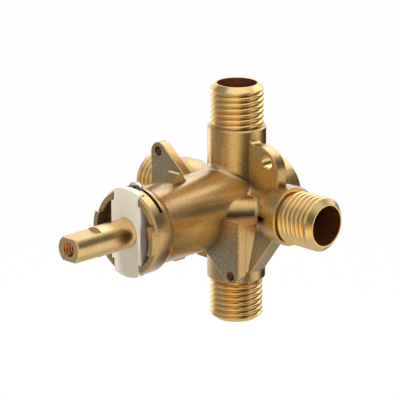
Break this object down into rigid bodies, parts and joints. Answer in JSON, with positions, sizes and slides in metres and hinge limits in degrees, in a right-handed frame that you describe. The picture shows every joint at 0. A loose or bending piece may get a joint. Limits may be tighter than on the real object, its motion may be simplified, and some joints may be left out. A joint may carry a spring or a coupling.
{
  "type": "pressure balancing shower valve",
  "caption": "Cast brass rough-in shower valve with cross-shaped threaded ends, trim ears, wall lugs and a cartridge whose flatted stem turns to mix hot and cold water.",
  "frame": {"origin": "where the axes of the four ports and the stem cross", "axes": "+X to the cold inlet, +Z to the shower outlet, stem towards -Y"},
  "size_m": [0.097, 0.1133, 0.097],
  "materials": {
    "cast_brass": "as cast and blasted, threads machined",
    "turned_brass": "turned, satin",
    "beige_plastic": "moulded, fine matt",
    "white_plastic": "moulded, satin",
    "spring_steel": "bright stainless",
    "spool_steel": "ground stainless",
    "seal_rubber": "moulded"
  },
  "bodies": {
    "valve": {"valve_body": "cast_brass", "retaining_clip": "spring_steel", "cartridge_shell": "beige_plastic", "front_shell_o_ring": "seal_rubber", "middle_shell_o_ring": "seal_rubber", "rear_shell_o_ring": "seal_rubber", "cold_inlet_seal": "seal_rubber", "hot_inlet_seal": "seal_rubber", "thrust_washer": "white_plastic", "rear_retainer": "beige_plastic"},
    "stem_assembly": {"stem": "turned_brass", "front_stem_o_ring": "seal_rubber", "rear_stem_o_ring": "seal_rubber", "drive_pin": "spring_steel", "control_sleeve": "white_plastic", "balance_cylinder": "spool_steel", "front_cylinder_o_ring": "seal_rubber", "rear_cylinder_o_ring": "seal_rubber", "cylinder_plug": "turned_brass", "plug_retaining_ring": "spring_steel"},
    "spool": {"balance_spool": "spool_steel"}
  },
  "joints": [
    {"name": "stem_turn", "type": "hinge", "parent": "valve", "child": "stem_assembly", "pos_m": [0, 0, 0], "axis": [0, -1, 0], "range_deg": [0, 270]},
    {"name": "spool_slide", "type": "slide", "parent": "stem_assembly", "child": "spool", "axis": [0, 1, 0], "range_m": [-0.0025, 0.0025]}
  ]
}
